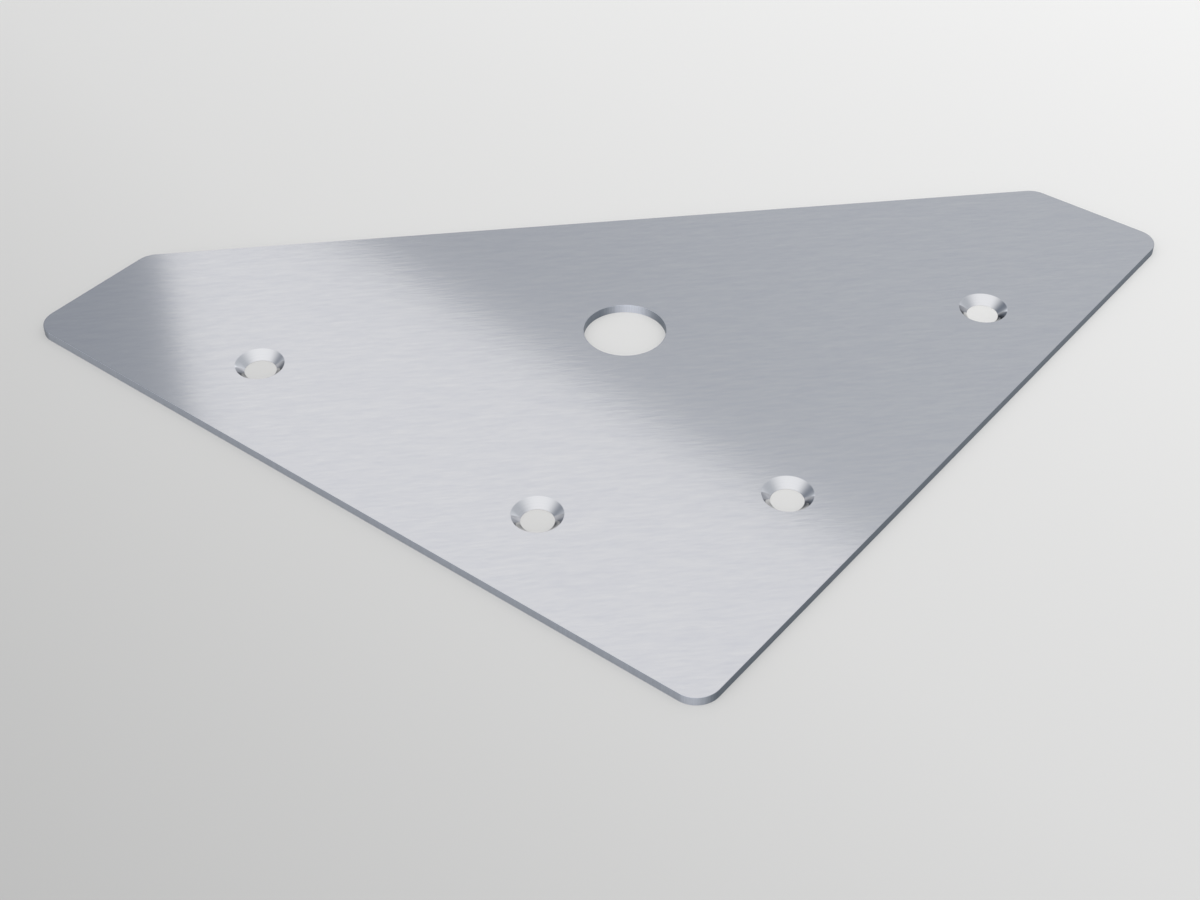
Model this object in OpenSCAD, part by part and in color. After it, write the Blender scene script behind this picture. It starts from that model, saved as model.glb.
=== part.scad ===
// Flat corner plate of sheet steel. It screws down over the corner of a frame or a box: four
// countersunk screw holes in two lines along its outer edges, and one large plain hole further in.
// The plate lies flat on its underside, at z = 0, with the countersinks upwards. The outline is a
// square with its far corner cut off on the diagonal. The origin is the centre of that square.

/* [Outline] */
// Length of the two outer edges, from the outer corner to the square ends (mm)
leg_length = 137; // [110:1:220]
// Width of the square end of each leg, up to the slanted inner edge (mm)
end_width = 25; // [20:1:60]
// Thickness of the sheet (mm)
thickness = 1.5; // [1:0.1:4]
// Radius of the five rounded corners of the outline (mm)
corner_radius = 4; // [1:0.5:8]

/* [Large hole] */
// Diameter of the large plain hole (mm)
large_hole_d = 13.6; // [4:0.1:30]
// Distance of its centre from the outer edge that runs along Y (mm)
large_hole_x = 59; // [50:0.1:65]
// Distance of its centre from the outer edge that runs along X (mm)
large_hole_y = 58.4; // [50:0.1:65]

/* [Screw holes] */
// Diameter of the narrow part of a screw hole, at the underside (mm)
screw_hole_d = 5.2; // [3:0.1:7]
// Diameter of a countersink at the upper face (mm)
countersink_d = 8; // [7:0.1:14]
// Full angle of the countersink cone (degrees)
countersink_angle = 90; // [82, 90]

/* [Screw line along X] */
// Distance of the line of screws from the outer edge beside it (mm)
x_line_inset = 14.7; // [10:0.1:20]
// Distance of the first screw from the outer corner, along the edge (mm)
x_line_start = 42.2; // [25:0.1:45]
// Distance between the two screws (mm)
x_line_pitch = 58.25; // [20:0.25:60]

/* [Screw line along Y] */
// Distance of the line of screws from the outer edge beside it (mm)
y_line_inset = 15.7; // [10:0.1:20]
// Distance of the first screw from the outer corner, along the edge (mm)
y_line_start = 41.5; // [25:0.1:45]
// Distance between the two screws (mm)
y_line_pitch = 58.25; // [20:0.25:60]

/* [Hidden] */
// Sides of the circles that stand for the true curves
curve_sides = 96;
// How far a cutting shape reaches past the faces that it cuts
overcut = 1;
// The five sharp corners of the outline, counter-clockwise from the outer corner
sharp_corners = [
    [0, 0],
    [leg_length, 0],
    [leg_length, end_width],
    [end_width, leg_length],
    [0, leg_length]
];
// Centres of the screw holes, measured from the outer corner
screw_centres = [
    [x_line_start, x_line_inset],
    [x_line_start + x_line_pitch, x_line_inset],
    [y_line_inset, y_line_start],
    [y_line_inset, y_line_start + y_line_pitch]
];
// Depth at which the cone has narrowed to the screw hole
countersink_depth = (countersink_d - screw_hole_d) / 2 / tan(countersink_angle / 2);

// Direction from one point to another, with length 1
function direction(from, to) = (to - from) / norm(to - from);

// Half of the angle between the two edges that meet at a corner
function half_angle(before, corner, after) =
    acos(direction(corner, before) * direction(corner, after)) / 2;

// The two points where a round of the given radius touches the edges at a corner
function tangent_points(before, corner, after, radius) =
    let (setback = radius / tan(half_angle(before, corner, after)))
    [
        corner + setback * direction(corner, before),
        corner + setback * direction(corner, after)
    ];

// Centre of that round, on the line that halves the corner
function round_centre(before, corner, after, radius) =
    let (
        bisector = direction(corner, before) + direction(corner, after),
        distance = radius / sin(half_angle(before, corner, after))
    )
    corner + distance * bisector / norm(bisector);

// A polygon whose corners are all rounded: its edges between the tangent points, and a full
// circle in each corner that closes the gap between two of them
module rounded_polygon(points, radius) {
    count = len(points);
    polygon([
        for (i = [0 : count - 1])
            each tangent_points(points[(i + count - 1) % count], points[i], points[(i + 1) % count], radius)
    ]);
    for (i = [0 : count - 1])
        translate(round_centre(points[(i + count - 1) % count], points[i], points[(i + 1) % count], radius))
            circle(r = radius, $fn = curve_sides);
}

// The space of one screw: a plain hole right through, and the cone for the head, which goes on
// past the upper face at the same angle
module screw_space() {
    translate([0, 0, -overcut])
        cylinder(h = thickness + 2 * overcut, d = screw_hole_d, $fn = curve_sides);
    translate([0, 0, thickness - countersink_depth])
        cylinder(
            h = countersink_depth + overcut,
            d1 = screw_hole_d,
            d2 = countersink_d + 2 * overcut * tan(countersink_angle / 2),
            $fn = curve_sides
        );
}

// The whole plate, moved so that the middle of its square is over the origin
module corner_plate() {
    color([0.66, 0.68, 0.71])
        translate([-leg_length / 2, -leg_length / 2, 0])
            difference() {
                linear_extrude(height = thickness)
                    rounded_polygon(sharp_corners, corner_radius);
                translate([large_hole_x, large_hole_y, -overcut])
                    cylinder(h = thickness + 2 * overcut, d = large_hole_d, $fn = curve_sides);
                for (centre = screw_centres)
                    translate(centre)
                        screw_space();
            }
}

corner_plate();
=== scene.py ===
import bpy
import numpy as np
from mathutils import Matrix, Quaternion, Vector
from mathutils.geometry import delaunay_2d_cdt


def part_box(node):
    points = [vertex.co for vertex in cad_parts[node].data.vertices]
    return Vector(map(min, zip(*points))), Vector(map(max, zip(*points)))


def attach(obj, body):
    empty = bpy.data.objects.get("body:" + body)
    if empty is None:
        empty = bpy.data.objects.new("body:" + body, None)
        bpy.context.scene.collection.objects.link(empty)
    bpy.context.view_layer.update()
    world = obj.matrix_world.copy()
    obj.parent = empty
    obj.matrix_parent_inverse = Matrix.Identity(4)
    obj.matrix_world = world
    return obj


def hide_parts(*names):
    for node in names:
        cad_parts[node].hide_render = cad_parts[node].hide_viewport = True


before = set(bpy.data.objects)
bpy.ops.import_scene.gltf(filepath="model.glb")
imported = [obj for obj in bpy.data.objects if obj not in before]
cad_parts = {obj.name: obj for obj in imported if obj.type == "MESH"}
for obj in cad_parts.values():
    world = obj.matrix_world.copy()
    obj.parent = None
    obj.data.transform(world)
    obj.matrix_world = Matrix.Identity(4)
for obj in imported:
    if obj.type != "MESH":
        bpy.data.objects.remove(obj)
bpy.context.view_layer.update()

# Corner plate. One flat piece of sheet steel, brushed in one direction as a sheet and then cut to
# shape: a square with its far corner cut off on the slant, and all five corners rounded.
# It lies on its underside, and its edges are only just broken, so they catch no wide light.
plate_low, plate_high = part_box("corner_plate")
leg_length = plate_high.x - plate_low.x
thickness = plate_high.z
end_width = 0.025
corner_radius = 0.004
corner_steps = 28
edge_break = 0.00004
break_steps = 4
sharp_corners = np.array([
    [0, 0],
    [leg_length, 0],
    [leg_length, end_width],
    [end_width, leg_length],
    [0, leg_length],
]) + [plate_low.x, plate_low.y]


def rounded_outline(corners, radius, steps):
    """Points and outward directions round a convex outline, counter-clockwise.

    An arc takes each corner's place. Its centre lies on the line that halves the corner, at
    radius / sin(half the corner's angle), and a point of it is centre + radius * (cos t, sin t),
    where t turns from square to the side that comes in to square to the side that goes on.
    """
    ahead = np.roll(corners, -1, axis=0) - corners
    ahead /= np.linalg.norm(ahead, axis=1, keepdims=True)
    behind = -np.roll(ahead, 1, axis=0)
    halving = ahead + behind
    halving /= np.linalg.norm(halving, axis=1, keepdims=True)
    half_angle = np.arccos((ahead * halving).sum(axis=1))
    centres = corners + halving * (radius / np.sin(half_angle))[:, None]
    start = np.arctan2(behind[:, 0], -behind[:, 1])
    turned = (np.pi - 2 * half_angle)[:, None] * np.linspace(0, 1, steps + 1)
    t = start[:, None] + turned
    outward = np.stack([np.cos(t), np.sin(t)], axis=-1)
    points = centres[:, None] + radius * outward
    return points.reshape(-1, 2), outward.reshape(-1, 2)


def arc_rows(side, up, radius, first, last):
    """Rows of a profile on an arc: side + radius * cos t, up + radius * sin t, cos t, sin t.

    The last two are the way that the surface faces. t runs from first to last, in degrees.
    """
    t = np.radians(np.linspace(first, last, break_steps + 1))
    return np.stack([side + radius * np.cos(t), up + radius * np.sin(t), np.cos(t), np.sin(t)], axis=1)


def carry(profile, path, outward):
    """A profile carried round a closed path, as points and facing directions, row by row.

    Point (u, v) is path(u) + side(v) * outward(u), at the height up(v). Its facing direction is
    the profile's own, leaned along outward(u) in the same way.
    """
    side, up, face_side, face_up = (profile[:, None, [column]] for column in range(4))
    level = np.ones((1, len(path), 1))
    points = np.concatenate([path + side * outward, up * level], axis=2)
    facing = np.concatenate([face_side * outward, face_up * level], axis=2)
    return points, facing


outline_path, outline_outward = rounded_outline(sharp_corners, corner_radius, corner_steps)
outline_profile = np.concatenate([
    arc_rows(-edge_break, edge_break, edge_break, -90, 0),
    arc_rows(-edge_break, thickness - edge_break, edge_break, 0, 90),
])
outline_wall = carry(outline_profile, outline_path, outline_outward)

# Large hole. A plain round hole cut straight through the broad middle of the plate, with the same
# cut wall and the same barely broken edges as the outline.
hole_steps = 128
large_hole_radius = 0.0068
large_hole_centre = np.array([-0.0095, -0.0101])


def rim(centre, steps):
    """The axis of a round hole, repeated, and the directions away from it, clockwise."""
    t = -np.linspace(0, 2 * np.pi, steps, endpoint=False)
    return np.tile(centre, (steps, 1)), np.stack([np.cos(t), np.sin(t)], axis=1)


large_hole_profile = np.concatenate([
    arc_rows(large_hole_radius + edge_break, edge_break, edge_break, 270, 180),
    arc_rows(large_hole_radius + edge_break, thickness - edge_break, edge_break, 180, 90),
])
large_hole_wall = carry(large_hole_profile, *rim(large_hole_centre, hole_steps))

# Screw holes. Four holes for countersunk wood screws, in a line of two along each outer edge. The
# cone is turned from above after the sheet was cut, and leaves only a thin land round the hole.
screw_hole_radius = 0.0026
countersink_radius = 0.004
countersink_half_angle = 45
land_break = 0.00002
screw_centres = np.array([
    [-0.0263, -0.0538],
    [0.03195, -0.0538],
    [-0.0528, -0.0270],
    [-0.0528, 0.03125],
])


def countersunk_profile():
    """From the underside up: break, land, the turn into the cone, the cone and the upper break.

    An arc between two straight stretches has its centre at radius / tan(half the angle of the
    steel between them) along either stretch from where they would meet.
    """
    slope = np.radians(countersink_half_angle)
    cone_faces = 180 - countersink_half_angle
    land = thickness - (countersink_radius - screw_hole_radius) / np.tan(slope)
    turn_down = land_break * np.tan(slope / 2)
    upper_side = countersink_radius + edge_break * np.tan(np.pi / 4 - slope / 2)
    return np.concatenate([
        arc_rows(screw_hole_radius + land_break, land_break, land_break, 270, 180),
        arc_rows(screw_hole_radius + land_break, land - turn_down, land_break, 180, cone_faces),
        arc_rows(upper_side, thickness - edge_break, edge_break, cone_faces, 90),
    ])


screw_profile = countersunk_profile()
screw_walls = [carry(screw_profile, *rim(centre, hole_steps)) for centre in screw_centres]

# Flats. The top and the underside of the sheet, which reach from the outline to the rims of the
# holes. With the walls of the outline and of the holes they make one closed piece.


def wall_faces(rows, columns, first):
    """Quads between neighbouring rows of points, closed round the columns."""
    number = first + np.arange(rows * columns).reshape(rows, columns)
    beside = np.roll(number, -1, axis=1)
    return np.stack([number[:-1], beside[:-1], beside[1:], number[1:]], axis=-1).reshape(-1, 4)


def run_of(points):
    """How far each corner of the same quads lies along the path and up the profile, in metres."""
    closed = np.concatenate([points, points[:, :1]], axis=1)
    along = np.linalg.norm(np.diff(closed, axis=1), axis=2).cumsum(axis=1)
    along = np.concatenate([np.zeros((len(points), 1)), along], axis=1)
    climb = np.linalg.norm(np.diff(points, axis=0), axis=2).cumsum(axis=0)
    climb = np.concatenate([np.zeros((1, points.shape[1])), climb], axis=0)
    climb = np.concatenate([climb, climb[:, :1]], axis=1)
    run = np.stack([along, climb], axis=-1)
    return np.stack([run[:-1, :-1], run[:-1, 1:], run[1:, 1:], run[1:, :-1]], axis=2).reshape(-1, 2)


def flat_between(rims, numbers, faces_up):
    """Triangles of a flat face between the outline's rim and the rims of the holes in it.

    The rims' points are joined by Delaunay triangles, which fill the whole convex outline, and
    the triangles with their middle inside a hole go. This is worked out in millimetres, and
    points nearer to each other than merge_distance would be one.
    """
    millimetres = 1000
    merge_distance = 1e-6
    whole_outline = 0
    joined = np.concatenate(rims)[:, :2] * millimetres
    number = np.concatenate(numbers)
    found = delaunay_2d_cdt(joined.tolist(), [], [], whole_outline, merge_distance)
    _, _, triangles, sources, _, _ = found
    source = np.array([merged[0] for merged in sources])
    triangles = source[np.array(triangles)]
    corner = joined[triangles]
    middle = corner.mean(axis=1)
    in_steel = np.ones(len(triangles), bool)
    for hole in rims[1:]:
        centre = hole[:, :2].mean(axis=0) * millimetres
        radius = np.linalg.norm(hole[0, :2] * millimetres - centre)
        in_steel &= np.linalg.norm(middle - centre, axis=1) > radius
    triangles = triangles[in_steel]
    first_side = corner[in_steel, 1] - corner[in_steel, 0]
    second_side = corner[in_steel, 2] - corner[in_steel, 0]
    upward = first_side[:, 0] * second_side[:, 1] - first_side[:, 1] * second_side[:, 0] > 0
    turned = np.where((upward == faces_up)[:, None], triangles, triangles[:, ::-1])
    return number[turned]


walls = [outline_wall, large_hole_wall] + screw_walls
firsts = np.concatenate([[0], np.cumsum([points.shape[0] * points.shape[1] for points, _ in walls])])
quads = [wall_faces(*points.shape[:2], first) for (points, _), first in zip(walls, firsts)]
quad_runs = [run_of(points) for points, _ in walls]
lower_rims = [points[0] for points, _ in walls]
upper_rims = [points[-1] for points, _ in walls]
lower_numbers = [first + np.arange(len(rim_points)) for first, rim_points in zip(firsts, lower_rims)]
upper_numbers = [end - len(rim_points) + np.arange(len(rim_points))
                 for end, rim_points in zip(firsts[1:], upper_rims)]
triangles = np.concatenate([
    flat_between(lower_rims, lower_numbers, False),
    flat_between(upper_rims, upper_numbers, True),
])
all_points = np.concatenate([points.reshape(-1, 3) for points, _ in walls])
all_facing = np.concatenate([facing.reshape(-1, 3) for _, facing in walls])

# Brushing. The sheet was brushed along the slant, so the lines run from the end of one leg to the
# other's. The flats' part of the run map lies square to the lines and along them.
grain_turn = np.radians(135)
grain = np.array([np.cos(grain_turn), np.sin(grain_turn)])
across_grain = np.array([grain[1], -grain[0]])
corner_points = all_points[triangles.ravel()][:, :2]
triangle_run = np.stack([corner_points @ across_grain, corner_points @ grain], axis=1)

# Painted reflection and shade of the walls, stored as each point's painted shading. The photo's cut
# walls are lightest where they face the outer corner, and those that it doesn't show get a middle
# grey. Each cone has two dark patches of painted shade at its foot, the darker one towards the right,
# and is lighter beside them, a painted reflection.
hole_shade = 0.1
cone_painted_level = 0.61
# A painted light is its turn, its reach, its power and its most, as painted_light_near takes them.
outline_painted_light = (207, 62, 2, 0.67)
hole_painted_light = (208, 56, 3, 0.82)
unseen_painted_light = (45, 80, 1, 0.5)
# A painted patch is its turn, its reach, and what it adds to the painted shading at the cone's foot
# and at its top.
painted_cone_patches = np.array([
    [278, 30, -0.8, 0],
    [293, 17, 0, 0.35],
    [158, 30, -0.3, 0],
    [145, 16, 0, 0.35],
    [132, 20, 0.25, 0],
])
# The first two of the three arcs in a screw hole's profile lie at the cone's foot.
foot_rows = 2 * (break_steps + 1)


def painted_light_near(directions, turn, reach, power=1, most=1):
    """Share of painted light for directions in plan: most at turn, falling to 0 at reach to either
    side.

    It is most * ((cosine - least) / (1 - least)) ** power, where cosine is that of the angle
    between a direction and turn, and least is that of reach. Turn and reach are in degrees.
    """
    cosine = directions @ [np.cos(np.radians(turn)), np.sin(np.radians(turn))]
    least = np.cos(np.radians(reach))
    return most * np.clip((cosine - least) / (1 - least), 0, 1) ** power


# What follows is the walls' and cones' painted reflection and shade, point by point.
round_hole = rim(np.zeros(2), hole_steps)[1]
outline_painted_shading = painted_light_near(outline_outward, *outline_painted_light)
outline_painted_shading += painted_light_near(outline_outward, *unseen_painted_light)
hole_painted_shading = hole_shade + painted_light_near(-round_hole, *hole_painted_light)
hole_painted_shading += painted_light_near(-round_hole, *unseen_painted_light)
cone_painted_shading = np.full(screw_walls[0][0].shape[:2], cone_painted_level)
patch_shares = np.stack([painted_light_near(round_hole, turn, reach) for turn, reach in painted_cone_patches[:, :2]])
cone_painted_shading[:foot_rows] += painted_cone_patches[:, 2] @ patch_shares
cone_painted_shading[foot_rows:] += painted_cone_patches[:, 3] @ patch_shares
painted_shading = np.concatenate([
    np.tile(outline_painted_shading, len(outline_profile)),
    np.tile(hole_painted_shading, len(large_hole_profile)),
    np.tile(cone_painted_shading.ravel(), len(screw_walls)),
])

# Finishes. The flats keep the sheet's brushing, the cut walls are duller, and the cones and the
# lands under them are turned clean. The land's finish ends half-way up the turn into the cone.
sheet, cut, cone, land = range(4)
finish_of_walls = [cut, cut] + [cone] * len(screw_walls)
land_rows = break_steps + 1 + break_steps // 2
finish_of_quads = [np.full(len(faces), finish) for faces, finish in zip(quads, finish_of_walls)]
for finishes in finish_of_quads[-len(screw_walls):]:
    finishes[:land_rows * hole_steps] = land
finish_numbers = np.concatenate(finish_of_quads + [np.full(len(triangles), sheet)])

plate_mesh = bpy.data.meshes.new("brushed_corner_plate")
plate_mesh.from_pydata(all_points.tolist(), [], np.concatenate(quads).tolist() + triangles.tolist())
run_map = plate_mesh.uv_layers.new(name="run")
run_map.data.foreach_set("uv", np.concatenate(quad_runs + [triangle_run]).ravel())
plate_mesh.polygons.foreach_set("use_smooth", [True] * len(plate_mesh.polygons))
plate_mesh.polygons.foreach_set("material_index", finish_numbers)
# Each point keeps its painted reflection and shade, which the wall and cone finishes read.
painted_shading_map = plate_mesh.attributes.new("painted_shading", "FLOAT", "POINT")
painted_shading_map.data.foreach_set("value", painted_shading)
# Each point is shaded the way that it faces, so the flats stay flat right up to their rims.
plate_mesh.normals_split_custom_set_from_vertices(all_facing.tolist())
plate_mesh.update()
plate = bpy.data.objects.new("brushed_corner_plate", plate_mesh)
bpy.context.scene.collection.objects.link(plate)


def stretched_noise(tree, turn, size, detail, coordinates="Object"):
    """Noise whose grains measure size, in metres, on axes turned about Z by turn, in radians.

    Each layer of detail is half the size of the one before, and layer_strength as strong.
    """
    layer_strength = 0.55
    place = tree.nodes.new("ShaderNodeTexCoord")
    axes = tree.nodes.new("ShaderNodeMapping")
    axes.vector_type = "TEXTURE"
    axes.inputs["Rotation"].default_value = (0, 0, turn)
    axes.inputs["Scale"].default_value = size
    grains = tree.nodes.new("ShaderNodeTexNoise")
    grains.inputs["Scale"].default_value = 1
    grains.inputs["Detail"].default_value = detail
    grains.inputs["Roughness"].default_value = layer_strength
    tree.links.new(place.outputs[coordinates], axes.inputs["Vector"])
    tree.links.new(axes.outputs["Vector"], grains.inputs["Vector"])
    return grains.outputs["Fac"]


def spread(tree, value, low, high):
    """Noise, which keeps near its middle, spread evenly between two values."""
    noise_low = 0.3
    noise_high = 0.7
    span = tree.nodes.new("ShaderNodeMapRange")
    span.inputs["From Min"].default_value = noise_low
    span.inputs["From Max"].default_value = noise_high
    span.inputs["To Min"].default_value = low
    span.inputs["To Max"].default_value = high
    tree.links.new(value, span.inputs["Value"])
    return span.outputs["Result"]


def average(tree, first, second):
    """The mean of two numbers, which a Mix node takes in its sockets 2 and 3."""
    half = tree.nodes.new("ShaderNodeMix")
    half.inputs["Factor"].default_value = 0.5
    tree.links.new(first, half.inputs[2])
    tree.links.new(second, half.inputs[3])
    return half.outputs[0]


def tint(tree, factor, dark, light):
    """A colour between two, by a factor. A Mix node has its colours in sockets 6 and 7."""
    blend = tree.nodes.new("ShaderNodeMix")
    blend.data_type = "RGBA"
    blend.inputs[6].default_value = (*dark, 1)
    blend.inputs[7].default_value = (*light, 1)
    tree.links.new(factor, blend.inputs["Factor"])
    return blend.outputs[2]


def new_steel(name):
    """A bare metal finish, its node tree and its shader."""
    finish = bpy.data.materials.new(name)
    finish.use_nodes = True
    shader = finish.node_tree.nodes["Principled BSDF"]
    shader.inputs["Metallic"].default_value = 1
    return finish, finish.node_tree, shader


def bump_from(tree, height, strength, shader):
    """Fine relief on the shader's surface, from 0 to relief_height, in metres."""
    relief_height = 0.00001
    bump = tree.nodes.new("ShaderNodeBump")
    bump.inputs["Strength"].default_value = strength
    bump.inputs["Distance"].default_value = relief_height
    tree.links.new(height, bump.inputs["Height"])
    tree.links.new(bump.outputs["Normal"], shader.inputs["Normal"])


def brushed_sheet():
    """Brushed flats: lines of three sizes along the grain, over a nearly even sheen."""
    patch_size = (0.009, 0.0018, 0.0018)
    streak_size = (0.0035, 0.0006, 0.0006)
    hairline_size = (0.0014, 0.00026, 0.00026)
    dark_line = (0.606, 0.611, 0.637)
    light_line = (0.664, 0.665, 0.673)
    finish, tree, shader = new_steel("brushed_sheet")
    patches = stretched_noise(tree, grain_turn, patch_size, detail=1)
    streaks = stretched_noise(tree, grain_turn, streak_size, detail=1)
    hairlines = stretched_noise(tree, grain_turn, hairline_size, detail=1)
    lines = average(tree, average(tree, patches, hairlines), streaks)
    colour = tint(tree, spread(tree, lines, low=0, high=1), dark_line, light_line)
    tree.links.new(colour, shader.inputs["Base Color"])
    tree.links.new(spread(tree, lines, low=0.105, high=0.095), shader.inputs["Roughness"])
    bump_from(tree, lines, strength=0.5, shader=shader)
    return finish


def painted_shading_with(tree, change):
    """The painted reflection and shade stored on the mesh, with a small change added."""
    stored = tree.nodes.new("ShaderNodeAttribute")
    stored.attribute_name = "painted_shading"
    both = tree.nodes.new("ShaderNodeMath")
    tree.links.new(stored.outputs["Fac"], both.inputs[0])
    tree.links.new(change, both.inputs[1])
    return both.outputs["Value"]


def cut_wall():
    """Cut walls: duller than the flats, with fine upright lines from the cut, coloured between a
    painted shade and a painted reflection.
    """
    line_size = (0.00012, 0.00012, 0.004)
    # The wall's colour in painted shade and in painted reflection.
    wall_in_painted_shade = (0.160, 0.188, 0.226)
    wall_in_painted_light = (0.84, 0.87, 0.955)
    finish, tree, shader = new_steel("cut_wall")
    lines = stretched_noise(tree, 0, line_size, detail=2)
    shade = painted_shading_with(tree, spread(tree, lines, low=-0.08, high=0.08))
    colour = tint(tree, shade, wall_in_painted_shade, wall_in_painted_light)
    tree.links.new(colour, shader.inputs["Base Color"])
    tree.links.new(spread(tree, lines, low=0.42, high=0.55), shader.inputs["Roughness"])
    bump_from(tree, lines, strength=0.2, shader=shader)
    return finish


def turned_steel(name, dark, light):
    """Countersinks: clean turned steel with faint rings, which lie across the cone's slope. Its colour
    runs from dark, a painted shade, to light, a painted reflection.
    """
    grazing_tint = (0.7, 0.7, 0.7, 1)
    ring_size = (0.02, 0.00006, 1)
    finish, tree, shader = new_steel(name)
    shader.inputs["Specular Tint"].default_value = grazing_tint
    rings = stretched_noise(tree, 0, ring_size, detail=2, coordinates="UV")
    shade = painted_shading_with(tree, spread(tree, rings, low=-0.02, high=0.02))
    eased = tree.nodes.new("ShaderNodeMapRange")
    eased.interpolation_type = "SMOOTHSTEP"
    tree.links.new(shade, eased.inputs["Value"])
    colour = tint(tree, eased.outputs["Result"], dark, light)
    tree.links.new(colour, shader.inputs["Base Color"])
    tree.links.new(spread(tree, rings, low=0.05, high=0.08), shader.inputs["Roughness"])
    bump_from(tree, rings, strength=0.05, shader=shader)
    return finish


# The order is that of the finishes' numbers: sheet, cut, cone, land.
plate_mesh.materials.append(brushed_sheet())
plate_mesh.materials.append(cut_wall())
# The cones' two colours are a painted shade and a painted reflection; the land's are lighter still, a
# painted highlight.
plate_mesh.materials.append(turned_steel("turned_cone", (0.06, 0.07, 0.09), (0.95, 0.95, 0.965)))
plate_mesh.materials.append(turned_steel("land_with_painted_highlight", (0.74, 0.75, 0.77), (1, 1, 1)))
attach(plate, "root")
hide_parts("corner_plate")

# Floor. One plain pale sheet that the plate lies on. It darkens smoothly towards the near left, as
# the photograph's background does. It glows a little wherever it is seen, in the steel too, so
# that its shade is right with no more light on the plate.
# The floor's darkening towards the near left is painted shade, in place of light that falls off across
# it.
floor_half = 3
floor_drop = 0.00002
floor_direction = (0.983, -0.185, 0)
# A shade is its place along that direction, in metres, and how light the floor is there.
floor_shades = [
    (-0.36, 0.262), (-0.22, 0.279), (-0.14, 0.327), (-0.03, 0.448),
    (0.05, 0.503), (0.16, 0.568), (0.26, 0.594), (0.4, 0.602),
]
floor_start = floor_shades[0][0]
floor_end = floor_shades[-1][0]
floor_tone = (1, 0.993, 0.973)
floor_lift = 0.7
floor_mesh = bpy.data.meshes.new("floor")
floor_mesh.from_pydata([
    (-floor_half, -floor_half, -floor_drop),
    (floor_half, -floor_half, -floor_drop),
    (floor_half, floor_half, -floor_drop),
    (-floor_half, floor_half, -floor_drop),
], [], [(0, 1, 2, 3)])
floor = bpy.data.objects.new("floor", floor_mesh)
bpy.context.scene.collection.objects.link(floor)
floor_paint = bpy.data.materials.new("floor_paint")
floor_paint.use_nodes = True
floor_tree = floor_paint.node_tree
floor_shader = floor_tree.nodes["Principled BSDF"]
floor_shader.inputs["Roughness"].default_value = 1
floor_shader.inputs["Specular IOR Level"].default_value = 0
floor_place = floor_tree.nodes.new("ShaderNodeTexCoord")
along_floor = floor_tree.nodes.new("ShaderNodeVectorMath")
along_floor.operation = "DOT_PRODUCT"
along_floor.inputs[1].default_value = floor_direction
floor_share = floor_tree.nodes.new("ShaderNodeMapRange")
floor_share.inputs["From Min"].default_value = floor_start
floor_share.inputs["From Max"].default_value = floor_end
floor_ramp = floor_tree.nodes.new("ShaderNodeValToRGB")
for place, _ in floor_shades[1:-1]:
    floor_ramp.color_ramp.elements.new((place - floor_start) / (floor_end - floor_start))
for stop, (_, shade) in zip(floor_ramp.color_ramp.elements, floor_shades):
    stop.color = (*(shade * tone for tone in floor_tone), 1)
rays = floor_tree.nodes.new("ShaderNodeLightPath")
seen_or_shiny = floor_tree.nodes.new("ShaderNodeMath")
seen_or_shiny.operation = "MAXIMUM"
seen_at_all = floor_tree.nodes.new("ShaderNodeMath")
seen_at_all.operation = "MAXIMUM"
lift = floor_tree.nodes.new("ShaderNodeMath")
lift.operation = "MULTIPLY"
lift.inputs[1].default_value = floor_lift
floor_tree.links.new(floor_place.outputs["Object"], along_floor.inputs[0])
floor_tree.links.new(along_floor.outputs["Value"], floor_share.inputs["Value"])
floor_tree.links.new(floor_share.outputs["Result"], floor_ramp.inputs["Fac"])
floor_tree.links.new(floor_ramp.outputs["Color"], floor_shader.inputs["Base Color"])
floor_tree.links.new(floor_ramp.outputs["Color"], floor_shader.inputs["Emission Color"])
floor_tree.links.new(rays.outputs["Is Camera Ray"], seen_or_shiny.inputs[0])
floor_tree.links.new(rays.outputs["Is Glossy Ray"], seen_or_shiny.inputs[1])
floor_tree.links.new(seen_or_shiny.outputs["Value"], seen_at_all.inputs[0])
floor_tree.links.new(rays.outputs["Is Transmission Ray"], seen_at_all.inputs[1])
floor_tree.links.new(seen_at_all.outputs["Value"], lift.inputs[0])
floor_tree.links.new(lift.outputs["Value"], floor_shader.inputs["Emission Strength"])
floor_mesh.materials.append(floor_paint)

# Studio light. One upright glowing panel beyond the far right leg, whose reflection is the bright
# band on the plate. Its lower edge and its left end are the two soft edges of that band.
panel_corner = np.array([0.796, 1.196, 0.801])
panel_along = np.array([-0.0927, -0.9957, 0])
panel_width = 1.9
panel_height = 1.0
panel_glow = (1.005, 1.01, 1.035, 1)
panel_across = np.array([0, 1, 1, 0])[:, None] * panel_width * panel_along
panel_up = np.array([0, 0, 1, 1])[:, None] * panel_height * np.array([0, 0, 1])
panel_mesh = bpy.data.meshes.new("light_panel")
panel_mesh.from_pydata((panel_corner + panel_across + panel_up).tolist(), [], [(0, 1, 2, 3)])
panel = bpy.data.objects.new("light_panel", panel_mesh)
bpy.context.scene.collection.objects.link(panel)
panel_cloth = bpy.data.materials.new("panel_cloth")
panel_cloth.use_nodes = True
panel_shader = panel_cloth.node_tree.nodes["Principled BSDF"]
panel_shader.inputs["Base Color"].default_value = (0, 0, 0, 1)
panel_shader.inputs["Specular IOR Level"].default_value = 0
panel_shader.inputs["Emission Color"].default_value = panel_glow
panel_shader.inputs["Emission Strength"].default_value = 1
panel_mesh.materials.append(panel_cloth)
panel.visible_camera = False

# Room. Even soft light all round, brightest from overhead and behind the camera and a little
# lighter low down, with one dark side to the far left, so the plate and its countersinks show
# light and dark sides.
room_colour = (0.641, 0.665, 0.705)
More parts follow.
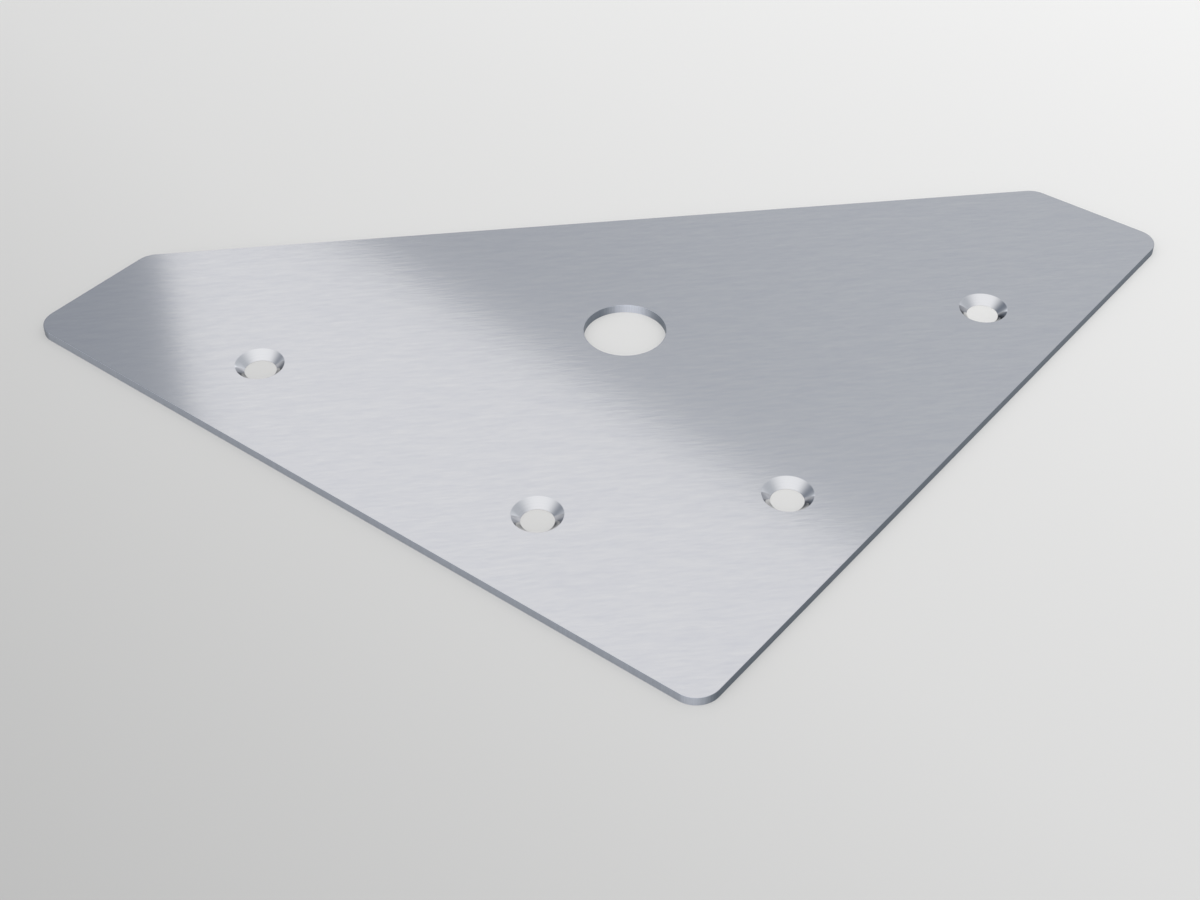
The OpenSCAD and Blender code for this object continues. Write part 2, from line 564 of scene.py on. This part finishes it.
# A side is its direction, the cosines where it starts and where it is full, and the colour that it
# adds, or that the dark side takes away.
bright_side = ((-0.379, -0.144, 0.914), 0.24, 1.0, (0.532, 0.513, 0.485))
dark_side = ((0.014, 0.841, 0.542), 0.578, 1.0, (0.415, 0.41, 0.40))
low_side = ((0, 0, -1), -0.3, -0.05, (0.18, 0.18, 0.18))
dark_power = 2
room = bpy.data.worlds.new("room")
room.use_nodes = True
bpy.context.scene.world = room
room_tree = room.node_tree
room_place = room_tree.nodes.new("ShaderNodeTexCoord")


def side_of_room(direction, start, full, colour, easing):
    """Light of a colour on one side of the room, and the share of it that each place gets.

    The share is 0 where the cosine of the angle between the place and the side's direction is
    start or less, 1 where it is full or more, and eased in between.
    """
    cosine = room_tree.nodes.new("ShaderNodeVectorMath")
    cosine.operation = "DOT_PRODUCT"
    cosine.inputs[1].default_value = direction
    share = room_tree.nodes.new("ShaderNodeMapRange")
    share.interpolation_type = easing
    share.inputs["From Min"].default_value = start
    share.inputs["From Max"].default_value = full
    light = room_tree.nodes.new("ShaderNodeVectorMath")
    light.operation = "SCALE"
    light.inputs[0].default_value = colour
    room_tree.links.new(room_place.outputs["Generated"], cosine.inputs[0])
    room_tree.links.new(cosine.outputs["Value"], share.inputs["Value"])
    return light, share.outputs["Result"]


bright_light, bright_share = side_of_room(*bright_side, "SMOOTHSTEP")
dark_light, dark_share = side_of_room(*dark_side, "LINEAR")
low_light, low_share = side_of_room(*low_side, "SMOOTHSTEP")
dark_eased = room_tree.nodes.new("ShaderNodeMath")
dark_eased.operation = "POWER"
dark_eased.inputs[1].default_value = dark_power
with_low = room_tree.nodes.new("ShaderNodeVectorMath")
with_low.inputs[0].default_value = room_colour
with_bright = room_tree.nodes.new("ShaderNodeVectorMath")
without_dark = room_tree.nodes.new("ShaderNodeVectorMath")
without_dark.operation = "SUBTRACT"
room_tree.links.new(bright_share, bright_light.inputs["Scale"])
room_tree.links.new(dark_share, dark_eased.inputs[0])
room_tree.links.new(dark_eased.outputs["Value"], dark_light.inputs["Scale"])
room_tree.links.new(low_share, low_light.inputs["Scale"])
room_tree.links.new(low_light.outputs["Vector"], with_low.inputs[1])
room_tree.links.new(with_low.outputs["Vector"], with_bright.inputs[0])
room_tree.links.new(bright_light.outputs["Vector"], with_bright.inputs[1])
room_tree.links.new(with_bright.outputs["Vector"], without_dark.inputs[0])
room_tree.links.new(dark_light.outputs["Vector"], without_dark.inputs[1])
room_tree.links.new(without_dark.outputs["Vector"], room_tree.nodes["Background"].inputs["Color"])

# Camera. It stands in front of the outer corner and looks down at the plate over its middle. Its
# place, turn and lens were fitted to the plate's edges and holes in the photograph.
camera_place = Vector((-0.21555, -0.16748, 0.20181))
camera_aim = Vector((-0.03574, -0.02543, 0.0015))
camera_roll = -0.00591
camera_lens = bpy.data.cameras.new("camera")
camera_lens.sensor_width = 36
camera_lens.lens = 59.4
camera_lens.clip_start = 0.01
camera = bpy.data.objects.new("camera", camera_lens)
bpy.context.scene.collection.objects.link(camera)
camera.location = camera_place
camera.rotation_mode = "QUATERNION"
level_look = (camera_aim - camera_place).to_track_quat("-Z", "Y")
camera.rotation_quaternion = level_look @ Quaternion((0, 0, 1), camera_roll)
bpy.context.scene.camera = camera
bpy.context.scene.view_settings.view_transform = "Standard"
